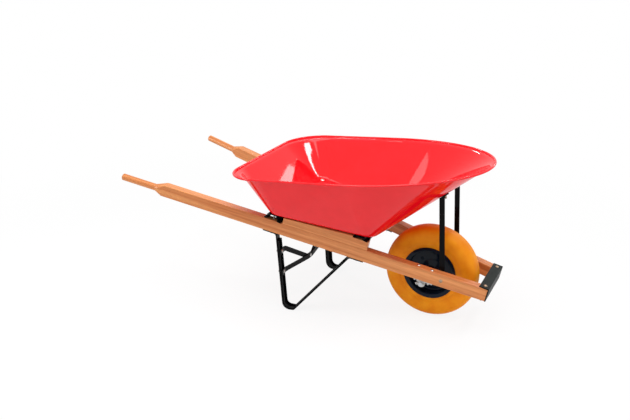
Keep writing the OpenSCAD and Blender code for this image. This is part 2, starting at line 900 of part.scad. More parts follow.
module leg_brace_bolts() {
    grip = leg_d + brace_t + seat_gap;
    color("silver") {
        for (side = ["right", "left"])
            for (z = [upper_brace_z, lower_brace_z])
                on_upright(side, z)
                    rotate([0, 90, 0])
                        translate([0, 0, brace_x + brace_t + seat_gap])
                            dome_bolt(bolt_r, grip + nut_room(bolt_r));
        at_mid_bolt()
            translate([0, 0, seat_gap])
                dome_bolt(bolt_r, 2 * brace_t + brace_gap + nut_room(bolt_r));
    }
}

module leg_brace_nuts() {
    color("silver") {
        for (side = ["right", "left"])
            for (z = [upper_brace_z, lower_brace_z])
                on_upright(side, z)
                    rotate([0, 90, 0])
                        translate([0, 0, -leg_t / 2 - seat_gap])
                            nut_stack(bolt_r);
        at_mid_bolt()
            translate([0, 0, -2 * brace_t - brace_gap - seat_gap])
                nut_stack(bolt_r);
    }
}

// ---- Front braces -------------------------------------------------------------------------

module brace_bolt_hole(side) {
    on_handle(side)
        translate([-along(bar_at, 0), 0, 0])
            rotate([90, 0, 0])
                bolt_hole(bolt_r, hole_gap);
}

module wall_bolt_hole(side) {
    on_wall(side)
        bolt_hole(bolt_r, hole_gap);
}

// A flat bar up the handle's inner face, with a tab bent in under the tray's front wall
module front_brace(side) {
    foot = bar_low - bar_foot * bar_dir;
    head = bar_high + bar_w * bar_dir;
    color("dimgray")
        difference() {
            union() {
                in_leg_plane(side)
                    translate([0, (handle_w + bar_t) / 2 + seat_gap, 0])
                        across(bar_t)
                            band([foot, head], [], -bar_w / 2, bar_w / 2);
                on_wall(side)
                    translate([-bar_w / 2, -bar_tab / 2 - bar_t, -bar_t - seat_gap])
                        cube([bar_w, bar_tab + bar_t, bar_t]);
            }
            on_wall(side)
                translate([-past / 2, -past / 2, -seat_gap])
                    cube([past, past, past]);
            on_handle(side)
                translate([-past * 1.5, -past / 2, -past / 2])
                    cube([past * 2, past / 2 + handle_w / 2 + seat_gap, past]);
            brace_bolt_hole(side);
            wall_bolt_hole(side);
        }
}

module front_brace_right() {
    front_brace("right");
}

module front_brace_left() {
    front_brace("left");
}

module front_brace_bolts() {
    across_grip = handle_w + bar_t + seat_gap;
    wall_head = tray_t + head_lift;
    wall_grip = wall_head + bar_t + seat_gap;
    color("silver")
        for (side = ["right", "left"]) {
            on_handle(side)
                translate([-along(bar_at, 0), -handle_w / 2 - seat_gap, 0])
                    rotate([90, 0, 0])
                        dome_bolt(bolt_r, across_grip + nut_room(bolt_r));
            on_wall(side)
                translate([0, 0, wall_head])
                    dome_bolt(bolt_r, wall_grip + nut_room(bolt_r));
        }
}

module front_brace_nuts() {
    color("silver")
        for (side = ["right", "left"]) {
            on_handle(side)
                translate([-along(bar_at, 0), handle_w / 2 + bar_t + 2 * seat_gap, 0])
                    rotate([90, 0, 0])
                        nut_stack(bolt_r);
            on_wall(side)
                translate([0, 0, -bar_t - 2 * seat_gap])
                    nut_stack(bolt_r);
        }
}

// ---- Nose guard ---------------------------------------------------------------------------

module guard_bolt_holes() {
    for (side = ["right", "left"])
        mirrored(side)
            on_nose()
                translate([guard_bolt_x, -nose_half, 0])
                    bolt_hole(bolt_r, hole_gap);
}

// An angle over the noses of both handles
module nose_guard() {
    color("darkslategray")
        difference() {
            on_nose() {
                translate([seat_gap + guard_t - guard_top, -guard_half, guard_z])
                    cube([guard_top, 2 * guard_half, guard_t]);
                translate([seat_gap, -guard_half, guard_z - handle_h])
                    cube([guard_t, 2 * guard_half, handle_h + guard_t]);
            }
            guard_bolt_holes();
        }
}

module nose_guard_bolts() {
    color("silver")
        for (side = ["right", "left"])
            mirrored(side)
                on_nose()
                    translate([guard_bolt_x, -nose_half, guard_z + guard_t + seat_gap])
                        dome_bolt(bolt_r, guard_z + guard_t - guard_nut_z + nut_room(bolt_r));
}

module nose_guard_nuts() {
    color("silver")
        for (side = ["right", "left"])
            mirrored(side)
                on_nose()
                    translate([guard_bolt_x, -nose_half, guard_nut_z])
                        nut_stack(bolt_r);
}

// ---- Axle ---------------------------------------------------------------------------------

// The bracket's two bolts stand in line with the wheel, square to the handle
module bracket_bolt_places(side) {
    for (i = [-1, 1])
        on_handle(side)
            translate([-axle_a + i * bracket_bolt, -i * bracket_bolt * tan(handle_splay), 0])
                children();
}

module bracket_bolt_holes(side) {
    bracket_bolt_places(side)
        bolt_hole(bolt_r, hole_gap);
}

// Along the axle: origin at the wheel's centre, Z along +Y
module on_axle() {
    translate([nose_x - axle_at, 0, wheel_r])
        rotate([-90, 0, 0])
            children();
}

// A plate under the handle with a block that carries the axle
module axle_bracket(side) {
    half_len = bracket_bolt + bracket_end;
    top_half = ear_r + ear_flare * 2 * axle_drop;
    color("silver")
        difference() {
            union() {
                mirrored(side)
                    translate([nose_x - axle_at, -ear_y, wheel_r])
                        across(bracket_w)
                            union() {
                                circle(r = ear_r, $fn = 64);
                                polygon([
                                    [-ear_r, 0], [ear_r, 0],
                                    [top_half, 2 * axle_drop], [-top_half, 2 * axle_drop]
                                ]);
                            }
                intersection() {
                    on_handle(side)
                        translate([-axle_a - half_len, -past / 2, -handle_h / 2 - bracket_t])
                            cube([2 * half_len, past, bracket_t]);
                    mirrored(side)
                        translate([nose_x - axle_at - past / 2, -ear_y - bracket_w / 2, 0])
                            cube([past, bracket_w, past]);
                }
            }
            on_handle(side)
                translate([-past * 1.5, -past / 2, -handle_h / 2])
                    cube([past * 2, past, past]);
            on_axle()
                cylinder(r = axle_r + run_gap, h = past, center = true, $fn = 64);
            bracket_bolt_holes(side);
        }
}

module axle_bracket_right() {
    axle_bracket("right");
}

module axle_bracket_left() {
    axle_bracket("left");
}

module axle_bracket_bolts() {
    color("silver")
        for (side = ["right", "left"])
            bracket_bolt_places(side)
                translate([0, 0, handle_h / 2 + seat_gap])
                    dome_bolt(bolt_r, handle_h + bracket_t + 2 * seat_gap + nut_room(bolt_r));
}

module axle_bracket_nuts() {
    color("silver")
        for (side = ["right", "left"])
            bracket_bolt_places(side)
                translate([0, 0, -handle_h / 2 - bracket_t - seat_gap])
                    nut_stack(bolt_r);
}

module axle() {
    color("gray")
        difference() {
            on_axle()
                cylinder(r = axle_r, h = 2 * axle_half, center = true, $fn = 64);
            for (i = [-1, 1])
                on_axle()
                    translate([0, 0, i * cotter_y])
                        rotate([0, 90, 0])
                            bolt_hole(cotter_r, hole_gap / 2);
        }
}

// A ring round the axle, from `low` to `high` along it
module ring(inner, outer, low, high) {
    on_axle()
        translate([0, 0, low])
            difference() {
                cylinder(r = outer, h = high - low, $fn = 64);
                translate([0, 0, -lap])
                    cylinder(r = inner, h = high - low + 2 * lap, $fn = 64);
            }
}

module axle_spacer_right() {
    color("silver")
        ring(axle_r + hole_gap / 2, spacer_r, -spacer_to, -spacer_from);
}

module axle_spacer_left() {
    color("silver")
        ring(axle_r + hole_gap / 2, spacer_r, spacer_from, spacer_to);
}

module axle_washers() {
    color("silver") {
        ring(axle_r + hole_gap / 2, axle_washer_r, -bracket_face - axle_washer_t, -bracket_face);
        ring(axle_r + hole_gap / 2, axle_washer_r, bracket_face, bracket_face + axle_washer_t);
    }
}

// A split pin through each end of the axle, with its eye to the rear
module axle_cotters() {
    reach = axle_r + cotter_over;
    color("silver")
        for (i = [-1, 1])
            on_axle()
                translate([0, 0, i * cotter_y]) {
                    translate([-reach, 0, 0])
                        rotate([0, 90, 0])
                            cylinder(r = cotter_r, h = 2 * reach, $fn = 24);
                    translate([-reach - cotter_eye_r, 0, 0])
                        rotate_extrude($fn = 48)
                            translate([cotter_eye_r, 0])
                                circle(r = cotter_r, $fn = 24);
                }
}

// ---- Wheel --------------------------------------------------------------------------------

// A power that keeps its sign, for a squarish oval: 1 is an ellipse, and less is squarer
oval_power = 0.78;
function oval(v) = sign(v) * pow(abs(v), oval_power);

// A solid tyre: a squarish oval section down to its beads on the rim's seat
module tyre() {
    mid_r = (wheel_r + lip_r) / 2;
    half_r = wheel_r - mid_r;
    section = [for (a = [-35 : 5 : 215]) [mid_r + half_r * oval(sin(a)), tyre_half * oval(cos(a))]];
    shoulder_r = lip_r + rim_t / 2 + 2 * tyre_gap;
    bead = [
        [shoulder_r, -tyre_bead], [tyre_seat + bead_ease, -tyre_bead], [tyre_seat, bead_ease - tyre_bead],
        [tyre_seat, tyre_bead - bead_ease], [tyre_seat + bead_ease, tyre_bead], [shoulder_r, tyre_bead]
    ];
    color("orange")
        on_axle()
            rotate_extrude($fn = 128)
                polygon(concat(section, bead));
}

// One pressed half of the rim: lip, seat and disc, dished outwards to meet the hub
module rim(side) {
    disc = rim_t / 2 + seat_gap / 2;
    path = [
        [lip_r, lip_half], [seat_r, lip_half], [seat_r, disc],
        [hub_r + dish_run, disc], [hub_r - rim_t, dish_out]
    ];
    color("black")
        difference() {
            mirrored(side)
                on_axle()
                    mirror([0, 0, 1])
                        rotate_extrude($fn = 96)
                            band(path, rim_bends, -rim_t / 2, rim_t / 2);
            on_axle()
                cylinder(r = hub_r + seat_gap, h = past, center = true, $fn = 64);
            rim_bolt_places()
                bolt_hole(rim_bolt_r, hole_gap);
        }
}

module rim_right() {
    rim("right");
}

module rim_left() {
    rim("left");
}

module rim_bolt_places() {
    on_axle()
        for (i = [1 : rim_bolt_count])
            rotate([0, 0, 360 / rim_bolt_count * (i - 0.5)])
                translate([rim_bolt_circle, 0, 0])
                    rotate([180, 0, 0])
                        children();
}

module rim_bolts() {
    face = rim_t + seat_gap;
    color("dimgray")
        rim_bolt_places()
            translate([0, 0, face])
                dome_bolt(rim_bolt_r, 2 * face + nut_room(rim_bolt_r));
}

module rim_nuts() {
    color("dimgray")
        rim_bolt_places()
            translate([0, 0, -rim_t - seat_gap])
                nut_stack(rim_bolt_r);
}

module hub() {
    color("black")
        difference() {
            ring(axle_r + hub_bore_gap, hub_r, -hub_half, hub_half);
            for (i = [-1, 1])
                on_axle()
                    translate([0, 0, i * hub_half])
                        cylinder(r = bearing_r + seat_gap / 5, h = 2 * bearing_w, center = true, $fn = 64);
        }
}

module bearing_right() {
    color("silver")
        ring(axle_r + run_gap, bearing_r, -hub_half, -hub_half + bearing_w);
}

module bearing_left() {
    color("silver")
        ring(axle_r + run_gap, bearing_r, hub_half - bearing_w, hub_half);
}

handle_right();
handle_left();
wedge_right();
wedge_left();
rear_strap();
front_strap();
tray();
tray_bolts();
tray_bolt_nuts();
leg_right();
leg_left();
leg_brace_upper();
leg_brace_lower();
leg_brace_bolts();
leg_brace_nuts();
front_brace_right();
front_brace_left();
front_brace_bolts();
front_brace_nuts();
nose_guard();
nose_guard_bolts();
nose_guard_nuts();
axle_bracket_right();
axle_bracket_left();
axle_bracket_bolts();
axle_bracket_nuts();
axle();
axle_spacer_right();
axle_spacer_left();
axle_washers();
axle_cotters();
tyre();
rim_right();
rim_left();
hub();
bearing_right();
bearing_left();
rim_bolts();
rim_nuts();
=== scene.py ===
# Contractor's wheelbarrow: a pressed steel tray on two hardwood handles, with braced channel legs
# and one solid-tyred wheel. +X points to the wheel, +Z up. Metres.
import math

import bmesh
import bpy
from mathutils import Euler, Matrix, Vector


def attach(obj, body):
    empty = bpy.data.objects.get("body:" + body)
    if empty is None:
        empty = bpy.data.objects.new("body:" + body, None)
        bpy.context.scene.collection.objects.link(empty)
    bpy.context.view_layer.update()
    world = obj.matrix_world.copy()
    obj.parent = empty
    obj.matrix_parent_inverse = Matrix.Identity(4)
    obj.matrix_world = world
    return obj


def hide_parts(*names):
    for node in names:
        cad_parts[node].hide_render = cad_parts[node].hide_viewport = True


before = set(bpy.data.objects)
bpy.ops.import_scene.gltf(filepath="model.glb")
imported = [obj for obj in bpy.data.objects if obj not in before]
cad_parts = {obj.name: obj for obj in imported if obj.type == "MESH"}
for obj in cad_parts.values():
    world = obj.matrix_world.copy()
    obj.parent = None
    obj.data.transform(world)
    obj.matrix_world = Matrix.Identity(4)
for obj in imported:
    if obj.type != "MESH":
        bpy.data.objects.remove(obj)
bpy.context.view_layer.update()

# ---- Camera ---------------------------------------------------------------------------------
# It stands 3 m away in front of the wheelbarrow and to its right, at a standing person's eye
# height, and looks down into the tray.

TURNED_LEFT = 25.44
LOOKS_DOWN = 20.79

camera = bpy.data.objects.new("camera", bpy.data.cameras.new("camera"))
camera.data.lens = 44.67
camera.data.sensor_width = 36
camera.location = (1.2759, -2.73315, 1.50151)
camera.rotation_euler = (math.radians(90 - LOOKS_DOWN), 0, math.radians(TURNED_LEFT))
bpy.context.collection.objects.link(camera)
bpy.context.scene.camera = camera

# ---- Studio ---------------------------------------------------------------------------------
# A pale paper floor that runs out to white under a large overhead softbox, with a weaker softbox
# at each side. Four small lamps are there for the streaks that they leave in the tray's gloss.

WHITE = (1, 1, 1, 1)
FILL_LIGHT = 0.42
FLOOR_HALF = 9
# just under the tyre and the feet, so that the floor doesn't cut their lowest faces
FLOOR_DROP = 0.0005
# what is seen of the floor turns from this share of white to all white between these distances
FADE_LEAST = 0.87
FADE_FROM = 0.7
FADE_TO = 2.4


def lin(hex_code):
    """An sRGB hex colour as the linear colour that a shader takes."""
    parts = [int(hex_code[i : i + 2], 16) / 255 for i in (1, 3, 5)]
    return tuple(p / 12.92 if p <= 0.04045 else ((p + 0.055) / 1.055) ** 2.4 for p in parts) + (1,)


def new_tree(owner):
    """The emptied node tree of a world or a material."""
    owner.use_nodes = True
    owner.node_tree.nodes.clear()
    return owner.node_tree


def add(tree, kind, links=None, values=None, **settings):
    """Adds a node with these settings, the values of its inputs, and links into its inputs."""
    node = tree.nodes.new(kind)
    for name, setting in settings.items():
        setattr(node, name, setting)
    for name, value in (values or {}).items():
        node.inputs[name].default_value = value
    for name, socket in (links or {}).items():
        tree.links.new(socket, node.inputs[name])
    return node


def seen_not_lit(tree):
    """A socket that is 1 for what is seen, straight or in a reflection, and 0 for light cast."""
    path = add(tree, "ShaderNodeLightPath")
    share = path.outputs["Is Camera Ray"]
    for ray in ("Is Glossy Ray", "Is Transmission Ray"):
        larger = add(tree, "ShaderNodeMath", {0: share, 1: path.outputs[ray]}, operation="MAXIMUM")
        share = larger.outputs[0]
    return share


bpy.context.scene.view_settings.view_transform = "Standard"
world = bpy.data.worlds.new("studio")
bpy.context.scene.world = world
tree = new_tree(world)
level = add(tree, "ShaderNodeMapRange", {0: seen_not_lit(tree)}, {"To Min": FILL_LIGHT})
back = add(tree, "ShaderNodeBackground", {"Strength": level.outputs[0]}, {"Color": WHITE})
add(tree, "ShaderNodeOutputWorld", {"Surface": back.outputs[0]})

# matt paper, which turns to plain white further out and keeps the shadow close by
paper = bpy.data.materials.new("white_paper_sweep")
tree = new_tree(paper)
coords = add(tree, "ShaderNodeTexCoord")
far = add(tree, "ShaderNodeVectorMath", {0: coords.outputs["Object"]}, operation="LENGTH")
fade = add(tree, "ShaderNodeMapRange", {0: far.outputs["Value"]},
           {"From Min": FADE_FROM, "From Max": FADE_TO, "To Min": FADE_LEAST},
           interpolation_type="SMOOTHSTEP")
share = add(tree, "ShaderNodeMath", {0: seen_not_lit(tree), 1: fade.outputs[0]},
            operation="MULTIPLY")
matt = add(tree, "ShaderNodeBsdfDiffuse", values={"Color": lin("#F4F4F4")})
glow = add(tree, "ShaderNodeEmission", values={"Color": WHITE})
both = add(tree, "ShaderNodeMixShader",
           {0: share.outputs[0], 1: matt.outputs[0], 2: glow.outputs[0]})
add(tree, "ShaderNodeOutputMaterial", {"Surface": both.outputs[0]})

bm = bmesh.new()
bmesh.ops.create_grid(bm, x_segments=1, y_segments=1, size=FLOOR_HALF)
floor_mesh = bpy.data.meshes.new("floor")
bm.to_mesh(floor_mesh)
bm.free()
floor_mesh.materials.append(paper)
floor = bpy.data.objects.new("floor", floor_mesh)
floor.location.z = -FLOOR_DROP
bpy.context.collection.objects.link(floor)

# name, place, point that it faces, width, height, turn about its own beam in degrees, watts
LAMPS = (
    ("softbox_top", (0.1, -0.5, 2.7), (0.1, 0, 0.5), 2.0, 2.0, 0, 46),
    # a bright streak down the left rear corner of the tray
    ("softbox_front", (1.54, 0.04, 2.25), (-0.1, 0.24, 0.5), 0.13, 1.5, 74, 19),
    # a pale patch on its rear wall
    ("softbox_rear", (1.11, 2.39, 1.48), (-0.2, 0, 0.5), 0.41, 0.57, 80, 5),
    # a soft streak where its left wall rounds into the nose
    ("softbox_back", (-1.5, -0.71, 1.61), (0.4, 0.26, 0.5), 0.36, 0.55, -65, 2),
    # glints on its lip, along the left side and at the nose
    ("strip_behind", (-0.88, 1.55, 1.88), (-0.1, 0.28, 0.55), 0.1, 0.3, 59, 3),
    ("softbox_right", (2.6, -1.4, 0.9), (0.5, 0, 0.3), 1.0, 1.0, 0, 6),
    ("softbox_left", (-2.2, -1.6, 1.3), (-0.4, -0.2, 0.4), 0.9, 0.9, 0, 18),
)
for name, place, aim, wide, high, roll, watts in LAMPS:
    lamp = bpy.data.lights.new(name, "AREA")
    lamp.shape = "RECTANGLE"
    lamp.size = wide
    lamp.size_y = high
    lamp.energy = watts
    lamp_object = bpy.data.objects.new(name, lamp)
    lamp_object.location = place
    beam = (Vector(aim) - Vector(place)).to_track_quat("-Z", "Y")
    turn = beam @ Euler((0, 0, math.radians(roll))).to_quaternion()
    lamp_object.rotation_euler = turn.to_euler()
    bpy.context.collection.objects.link(lamp_object)

# ---- Handles and wedges ---------------------------------------------------------------------
# Two long bars of ash with turned grips, and a tapered riser on each. They are planed, stained a
# warm tan and lacquered, so the grain runs the length of the bar under a thin coat.

PITCH = math.radians(12.3)
SPLAY = math.radians(9)
# growth rings 9 mm apart across the bar and 16 mm up it, drawn out to 700 mm along it
RINGS = (0.7, 0.009, 0.016)
# pores 1.5 mm apart, wider than real ones so that they show, drawn out to 45 mm
PORES = (0.045, 0.0015, 0.0015)
EARLY_WOOD = "#C26E39"
LATE_WOOD = "#EA9E60"


def lacquered_ash(name, turn):
    """Stained ash under satin lacquer, with its grain along a bar turned this much in plan.

    It gives the eye long streaks of two tans, dark pores, and a soft wide shine.
    """
    material = bpy.data.materials.new(name)
    tree = new_tree(material)
    coords = add(tree, "ShaderNodeTexCoord")
    rings = add(tree, "ShaderNodeMapping", {"Vector": coords.outputs["Object"]},
                {"Rotation": (0, PITCH, turn), "Scale": RINGS}, vector_type="TEXTURE")
    bands = add(tree, "ShaderNodeTexNoise", {"Vector": rings.outputs[0]},
                {"Scale": 1, "Detail": 3, "Roughness": 0.55, "Distortion": 0.3})
    tint = add(tree, "ShaderNodeValToRGB", {"Fac": bands.outputs["Fac"]})
    for stop, place, colour in zip(tint.color_ramp.elements, (0.3, 0.7), (EARLY_WOOD, LATE_WOOD)):
        stop.position = place
        stop.color = lin(colour)
    pores = add(tree, "ShaderNodeMapping", {"Vector": coords.outputs["Object"]},
                {"Rotation": (0, PITCH, turn), "Scale": PORES}, vector_type="TEXTURE")
    fine = add(tree, "ShaderNodeTexNoise", {"Vector": pores.outputs[0]},
               {"Scale": 1, "Detail": 2, "Roughness": 0.6})
    dark = add(tree, "ShaderNodeMapRange", {0: fine.outputs["Fac"]},
               {"From Min": 0.3, "From Max": 0.6, "To Min": 0.82})
    # the Mix node's colour inputs are its 6th and 7th
    colour = add(tree, "ShaderNodeMix", {6: tint.outputs["Color"], 7: dark.outputs[0]}, {0: 1},
                 data_type="RGBA", blend_type="MULTIPLY")
    bump = add(tree, "ShaderNodeBump", {"Height": fine.outputs["Fac"]},
               {"Strength": 0.15, "Distance": 0.0004})
    shader = add(tree, "ShaderNodeBsdfPrincipled",
                 {"Base Color": colour.outputs[2], "Normal": bump.outputs[0]},
                 {"Roughness": 0.45, "Specular IOR Level": 0.15, "Coat Weight": 0.35,
                  "Coat Roughness": 0.2})
    add(tree, "ShaderNodeOutputMaterial", {"Surface": shader.outputs[0]})
    return material


def dress(nodes, material):
    """Gives CAD nodes this material."""
    for name in nodes:
        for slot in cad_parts[name].material_slots:
            slot.material = material


dress(["handle_right", "wedge_right"], lacquered_ash("lacquered_ash_right", SPLAY))
dress(["handle_left", "wedge_left"], lacquered_ash("lacquered_ash_left", -SPLAY))

# ---- Straps, legs and braces ----------------------------------------------------------------
# Two hat-section straps carry the tray across the handles. The legs are bent channel, and the
# braces flat bar. All are steel, bolted on, and dipped in black enamel, which dries to a gloss.

# slow changes of shade over about 60 mm
CLOUDS_PER_METRE = 16
# orange peel of 3 mm, coarser than the real 1 mm so that it shows
PEEL_PER_METRE = 330


def enamel(name, colour, other, roughness, ripple, coat, specular):
    """Enamel or powder coat on steel: two close shades, faint orange peel and a clear gloss."""
    material = bpy.data.materials.new(name)
    tree = new_tree(material)
    coords = add(tree, "ShaderNodeTexCoord")
    cloud = add(tree, "ShaderNodeTexNoise", {"Vector": coords.outputs["Object"]},
                {"Scale": CLOUDS_PER_METRE, "Detail": 2, "Roughness": 0.5})
    tint = add(tree, "ShaderNodeValToRGB", {"Fac": cloud.outputs["Fac"]})
    for stop, place, shade in zip(tint.color_ramp.elements, (0.35, 0.65), (colour, other)):
        stop.position = place
        stop.color = lin(shade)
    peel = add(tree, "ShaderNodeTexNoise", {"Vector": coords.outputs["Object"]},
               {"Scale": PEEL_PER_METRE, "Detail": 1, "Roughness": 0.4})
    bump = add(tree, "ShaderNodeBump", {"Height": peel.outputs["Fac"]},
               {"Strength": ripple, "Distance": 0.0002})
    shader = add(tree, "ShaderNodeBsdfPrincipled",
                 {"Base Color": tint.outputs["Color"], "Normal": bump.outputs[0]},
                 {"Roughness": roughness, "Specular IOR Level": specular, "Coat Weight": coat,
                  "Coat Roughness": 0.04})
    add(tree, "ShaderNodeOutputMaterial", {"Surface": shader.outputs[0]})
    return material


# a deep black with thin bright edges
black_enamel = enamel("black_enamel", "#0A0A0B", "#0E0E10", roughness=0.3, ripple=0.2, coat=0.08,
                      specular=0.02)
dress(["rear_strap", "front_strap", "leg_right", "leg_left", "leg_brace_upper", "leg_brace_lower",
       "front_brace_right", "front_brace_left"], black_enamel)

# ---- Nose guard -----------------------------------------------------------------------------
# A steel angle, bent from plate and bolted over the noses of both handles. It takes the knocks
# when the barrow is tipped, so its enamel is a duller, greyer black than the legs'.

grey_enamel = enamel("grey_enamel", "#0E1411", "#151C19", roughness=0.45, ripple=0.2, coat=0.0,
                     specular=0.08)
dress(["nose_guard"], grey_enamel)

# ---- Tray -----------------------------------------------------------------------------------
# One blank of 1.5 mm sheet steel, deep-drawn with a flat bottom, a flared lip and a rim rolled
# round into a 9 mm bead. Outside and inside have the same glossy red powder coat.

# the tray's frame has its origin under the bottom's rear edge, and the rim's at the rim's rear edge
TRAY = Matrix.Translation((-0.122236, 0, 0.410358)) @ Matrix.Rotation(math.radians(8.73517), 4, "Y")
RIM = Matrix.Translation((-0.168, 0, 0.129)) @ Matrix.Rotation(math.radians(-13.6), 4, "Y")
SHEET = 0.0015
RIM_LENGTH = 0.973
RIM_HALF = 0.345
RIM_NOSE = 0.506
RIM_CORNER = 0.145
BEAD = 0.0045
# the walls end this far inside and below the rim, in a ring with rounder rear corners
LIP_IN = 0.022
LIP_DOWN = 0.012
LIP_ROUNDER = 0.034
BOTTOM_LENGTH = 0.429
BOTTOM_REAR = 0.24476
BOTTOM_FRONT = 0.181102
BOTTOM_CORNER = 0.046
# the walls' outer faces start this far outside the bottom's outline and this high
FOOT_OUT = 0.00196
FOOT_UP = 0.00348
# from the corner of a bend to where the bend starts
FOLD_RUN = 0.0115
LIP_RUN = 0.006
# widest strip of wall at the bottom
STRIP = 0.012
# rings from end to end of the fold and of the lip's bend, and sides of the bead
FOLD_RINGS = 7
LIP_RINGS = 4
BEAD_SIDES = 16
# a quarter of the nose and of a corner, and each straight side, in so many steps
NOSE_STEPS = 48
CORNER_STEPS = 24
FOOT_STEPS = 40
SIDE_STEPS = 12


def rim_ring(inset, height, rounder=0.0):
    """Points of the rim's outline in the tray's frame, from the nose's right end round to the left.

    The outline is drawn in by inset and lies at this height over the rim's plane.
    """
    half = RIM_HALF - inset
    corner = RIM_CORNER - inset + rounder
    nose = RIM_LENGTH - RIM_NOSE
    back = inset + corner
    points = []
    for k in range(2 * NOSE_STEPS + 1):
        a = math.radians(-90 + 90 * k / NOSE_STEPS)
        points.append((nose + (RIM_NOSE - inset) * math.cos(a), half * math.sin(a)))
    points += [(nose + (back - nose) * k / SIDE_STEPS, half) for k in range(1, SIDE_STEPS)]
    for k in range(CORNER_STEPS + 1):
        a = math.radians(90 + 90 * k / CORNER_STEPS)
        points.append((back + corner * math.cos(a), half - corner + corner * math.sin(a)))
    points += [(inset, (half - corner) * (1 - 2 * k / SIDE_STEPS)) for k in range(1, SIDE_STEPS)]
    for k in range(CORNER_STEPS + 1):
        a = math.radians(180 + 90 * k / CORNER_STEPS)
        points.append((back + corner * math.cos(a), corner - half + corner * math.sin(a)))
    points += [(back + (nose - back) * k / SIDE_STEPS, -half) for k in range(1, SIDE_STEPS)]
    return [RIM @ Vector((x, y, height)) for x, y in points]


def foot_ring():
    """Places round the bottom where the walls' outer faces start, and the way outwards at each."""
    places = []
    ways = []
    rear, front = BOTTOM_REAR - BOTTOM_CORNER, BOTTOM_FRONT - BOTTOM_CORNER
    far_end = BOTTOM_LENGTH - BOTTOM_CORNER
    for x, y, start in ((far_end, front, 0), (BOTTOM_CORNER, rear, 90), (BOTTOM_CORNER, -rear, 180),
                        (far_end, -front, 270)):
        for k in range(FOOT_STEPS + 1):
            a = math.radians(start + 90 * k / FOOT_STEPS)
            way = Vector((math.cos(a), math.sin(a), 0))
            places.append(Vector((x, y, FOOT_UP)) + (BOTTOM_CORNER + FOOT_OUT) * way)
            ways.append(way)
    return places, ways


def wall_strips(lip, foot):
    """Pairs of places on the lip and on the foot that a strip of wall joins.

    Each place is a number along its ring. Sheet is drawn tight between the two rings, so a place
    on the lip is joined to the place on the foot where the wall leans out furthest. Long gaps
    along the foot are filled with more strips.
    """
    pairs = []
    for k, top in enumerate(lip):
        along = (lip[(k + 1) % len(lip)] - lip[k - 1]).normalized()
        outwards = along.cross(RIM.to_3x3() @ Vector((0, 0, 1)))
        leans = []
        for low in foot:
            down = low - top
            down -= down.dot(along) * along
            leans.append(math.atan2(down.dot(outwards), -down.z))
        pairs.append((k, leans.index(max(leans))))
    strips = []
    for (k, j), (next_k, next_j) in zip(pairs, pairs[1:] + pairs[:1]):
        next_k += len(lip) if next_k < k else 0
        next_j += len(foot) if next_j < j else 0
        count = int((foot[next_j % len(foot)] - foot[j]).length / STRIP)
        strips.append((k, j))
        for s in range(1, count):
            strips.append((k + (next_k - k) * s / count, j + (next_j - j) * s / count))
    return strips


def between(places, number):
    """The place at a number along a closed ring, such as halfway between two at 3.5."""
    low = math.floor(number)
    return places[low % len(places)].lerp(places[(low + 1) % len(places)], number - low)


def bend(start, corner, end, t):
    """The place at t, from 0 to 1, on a round bend from start to end."""
    return start.lerp(corner, t).lerp(corner.lerp(end, t), t)


def sheet_rings(profiles):
    """Rings of places up one face of the sheet, from the bottom's edge to the middle of the bead.

    A profile is the bottom's edge, the fold's corner, the wall's foot and head, the corner under
    the lip, the lip's foot and its end.
    """
    rings = [[bend(*p[0:3], k / FOLD_RINGS) for p in profiles] for k in range(FOLD_RINGS + 1)]
    # two rings near the wall's ends keep its flat strips flat under smooth shading
    rings += [[p[2].lerp(p[3], t) for p in profiles] for t in (0.03, 0.97)]
    rings += [[bend(*p[3:6], k / LIP_RINGS) for p in profiles] for k in range(LIP_RINGS + 1)]
    return rings + [[p[6] for p in profiles]]


def first_ring(bm, places):
    """Draws a closed ring of edges through these places."""
    ring = [bm.verts.new(place) for place in places]
    for k in range(len(ring)):
        bm.edges.new((ring[k - 1], ring[k]))
    return ring


def raise_ring(bm, ring, places):
    """Extrudes a closed ring and moves the new ring to these places."""
    edges = [bm.edges.get((ring[k - 1], ring[k])) for k in range(len(ring))]
    made = bmesh.ops.extrude_edge_only(bm, edges=edges)["geom"]
    number = {vert: k for k, vert in enumerate(ring)}
    raised = [None] * len(ring)
    for vert in made:
        if isinstance(vert, bmesh.types.BMVert):
            for edge in vert.link_edges:
                k = number.get(edge.other_vert(vert))
                if k is not None:
                    raised[k] = vert
    for vert, place in zip(raised, places):
        vert.co = place
    return raised


lip = rim_ring(LIP_IN, -LIP_DOWN, LIP_ROUNDER)
bead_core = rim_ring(BEAD, -BEAD)
foot, foot_ways = foot_ring()
strips = wall_strips(lip, foot)

# the fold's corner below each place on the foot, which strips that fan out from there share
corners = {}
for u, v in strips:
    low = between(foot, v)
    way = between(foot_ways, v).normalized()
    down = low - between(lip, u)
    step = down * (low.z / -down.z)
    corners.setdefault(v, []).append(low + way * step.dot(way) + Vector((0, 0, -low.z)))

up = Vector((0, 0, 1))
outside = []
inside = []
for u, v in strips:
    top = between(lip, u)
    way = between(foot_ways, v).normalized()
    corner = sum(corners[v], Vector()) / len(corners[v])
    down = (corner - top).normalized()
    lip_end = between(bead_core, u)
    flare = (lip_end - top).normalized()
    outside.append((corner - way * FOLD_RUN, corner, corner - down * FOLD_RUN, top + down * LIP_RUN,
                    top, top + flare * LIP_RUN, lip_end))
    # towards the load, square to the bottom, the wall and the lip, and mitred where they meet
    along = between(lip, u + 0.5) - between(lip, u - 0.5)
    off_wall = along.cross(down).normalized()
    off_lip = flare.cross(along).normalized()
    fold_mitre = (up + off_wall) / (1 + up.dot(off_wall))
    lip_mitre = (off_wall + off_lip) / (1 + off_wall.dot(off_lip))
    sides = (up, fold_mitre, off_wall, off_wall, lip_mitre, off_lip, off_lip)
    inside.append([place + side * SHEET for place, side in zip(outside[-1], sides)])

